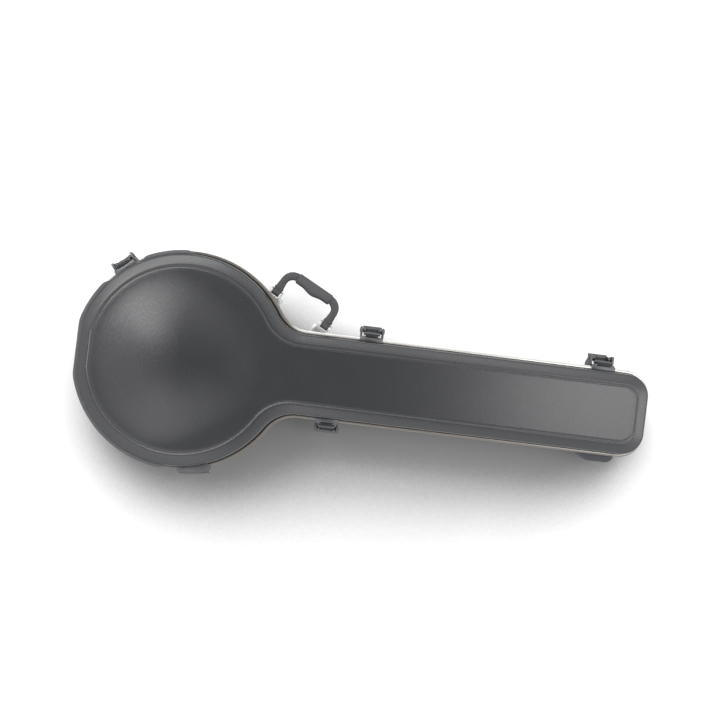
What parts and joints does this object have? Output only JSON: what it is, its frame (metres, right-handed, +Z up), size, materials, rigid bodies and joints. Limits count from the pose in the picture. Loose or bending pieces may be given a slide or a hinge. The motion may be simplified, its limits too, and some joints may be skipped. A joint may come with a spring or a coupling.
{
  "type": "banjo case",
  "caption": "Moulded hard case for a resonator banjo: round body, long neck, domed hinged lid, draw latches, swing handle, plush inside",
  "frame": {"origin": "under the middle of the closed case, in the plane of its back feet", "axes": "the case lies on its back: +X along the neck to the peghead end, +Y the handle side, +Z up through the lid"},
  "size_m": [1.085, 0.4236, 0.1605],
  "materials": {
    "shell": "fine-grained moulded plastic, charcoal black",
    "rail": "satin extrusion",
    "bumper": "smooth dark grey plastic",
    "latch": "satin dark nickel plate",
    "handle": "grey glass-filled nylon, fine texture",
    "grip": "soft over-moulded rubber",
    "foot": "blue-grey rubber",
    "steel": "plated steel",
    "plush": "short-pile plush on foam"
  },
  "bodies": {
    "base": {"base_shell": "shell", "base_rail": "rail", "base_bumper_short": "bumper", "base_bumper_tail": "bumper", "hinge_base_leaf": "latch", "hinge_pin": "steel", "handle_bracket_1": "steel", "handle_pin_1": "steel", "handle_bracket_2": "steel", "handle_pin_2": "steel", "stand_foot": "foot", "back_foot_1": "foot", "back_foot_2": "foot", "back_foot_3": "foot", "back_foot_4": "foot", "back_foot_5": "foot", "base_liner": "plush", "accessory_box": "plush", "neck_rest": "plush", "lock_latch_housing": "latch", "neck_latch_1_housing": "latch", "neck_latch_2_housing": "latch", "far_latch_housing": "latch"},
    "lid": {"lid_shell": "shell", "lid_rail": "rail", "lid_bumper_short": "bumper", "lid_bumper_tail": "bumper", "hinge_lid_leaf": "latch", "lid_liner": "plush", "lock_latch_keeper": "latch", "neck_latch_1_keeper": "latch", "neck_latch_2_keeper": "latch", "far_latch_keeper": "latch"},
    "handle": {"handle_frame": "handle", "handle_grip": "grip"},
    "accessory_lid": {"accessory_lid": "plush"},
    "lock_cylinder": {"lock_latch_cylinder": "steel"},
    "lock_latch_lever": {"lock_latch_lever": "latch", "lock_latch_hook_pin": "steel"},
    "lock_latch_hook": {"lock_latch_hook": "latch"},
    "neck_latch_1_lever": {"neck_latch_1_lever": "latch", "neck_latch_1_hook_pin": "steel"},
    "neck_latch_1_hook": {"neck_latch_1_hook": "latch"},
    "neck_latch_2_lever": {"neck_latch_2_lever": "latch", "neck_latch_2_hook_pin": "steel"},
    "neck_latch_2_hook": {"neck_latch_2_hook": "latch"},
    "far_latch_lever": {"far_latch_lever": "latch", "far_latch_hook_pin": "steel"},
    "far_latch_hook": {"far_latch_hook": "latch"}
  },
  "joints": [
    {"name": "lid_hinge", "type": "hinge", "parent": "base", "child": "lid", "pos_m": [-0.29677, -0.2041, 0.1], "axis": [0.9925, 0.1219, 0], "range_deg": [0, 105]},
    {"name": "lock_latch_lever_pivot", "type": "hinge", "parent": "base", "child": "lock_latch_lever", "pos_m": [-0.48184, 0.17761, 0.087], "axis": [0.7771, 0.6293, 0], "range_deg": [0, 115]},
    {"name": "lock_latch_hook_pivot", "type": "hinge", "parent": "lock_latch_lever", "child": "lock_latch_hook", "pos_m": [-0.48085, 0.17639, 0.07814], "axis": [0.7771, 0.6293, 0], "range_deg": [-130, 0]},
    {"name": "neck_latch_1_lever_pivot", "type": "hinge", "parent": "base", "child": "neck_latch_1_lever", "pos_m": [0.0075, 0.10305, 0.087], "axis": [1, 0, 0], "range_deg": [0, 115]},
    {"name": "neck_latch_1_hook_pivot", "type": "hinge", "parent": "neck_latch_1_lever", "child": "neck_latch_1_hook", "pos_m": [0.0075, 0.10149, 0.07814], "axis": [1, 0, 0], "range_deg": [-130, 0]},
    {"name": "neck_latch_2_lever_pivot", "type": "hinge", "parent": "base", "child": "neck_latch_2_lever", "pos_m": [0.449, 0.10305, 0.087], "axis": [1, 0, 0], "range_deg": [0, 115]},
    {"name": "neck_latch_2_hook_pivot", "type": "hinge", "parent": "neck_latch_2_lever", "child": "neck_latch_2_hook", "pos_m": [0.449, 0.10149, 0.07814], "axis": [1, 0, 0], "range_deg": [-130, 0]},
    {"name": "far_latch_lever_pivot", "type": "hinge", "parent": "base", "child": "far_latch_lever", "pos_m": [-0.0575, -0.09445, 0.087], "axis": [-1, 0, 0], "range_deg": [0, 115]},
    {"name": "far_latch_hook_pivot", "type": "hinge", "parent": "far_latch_lever", "child": "far_latch_hook", "pos_m": [-0.0575, -0.09288, 0.07814], "axis": [-1, 0, 0], "range_deg": [-130, 0]},
    {"name": "lock_turn", "type": "hinge", "parent": "lock_latch_lever", "child": "lock_cylinder", "pos_m": [-0.48436, 0.18072, 0.057], "axis": [-0.6293, 0.7771, 0], "range_deg": [0, 90]},
    {"name": "handle_swing", "type": "hinge", "parent": "base", "child": "handle", "pos_m": [-0.13493, 0.12763, 0.076], "axis": [0.886, -0.4637, 0], "range_deg": [-80, 75]},
    {"name": "accessory_lid_hinge", "type": "hinge", "parent": "base", "child": "accessory_lid", "pos_m": [-0.0369, 0.0043, 0.0523], "axis": [0, -1, 0], "range_deg": [0, 90]}
  ],
  "couplings": [
    {"joint": "lock_latch_hook_pivot", "follows": "lock_latch_lever_pivot", "ratio": -1.12},
    {"joint": "neck_latch_1_hook_pivot", "follows": "neck_latch_1_lever_pivot", "ratio": -1.12},
    {"joint": "neck_latch_2_hook_pivot", "follows": "neck_latch_2_lever_pivot", "ratio": -1.12},
    {"joint": "far_latch_hook_pivot", "follows": "far_latch_lever_pivot", "ratio": -1.12}
  ]
}
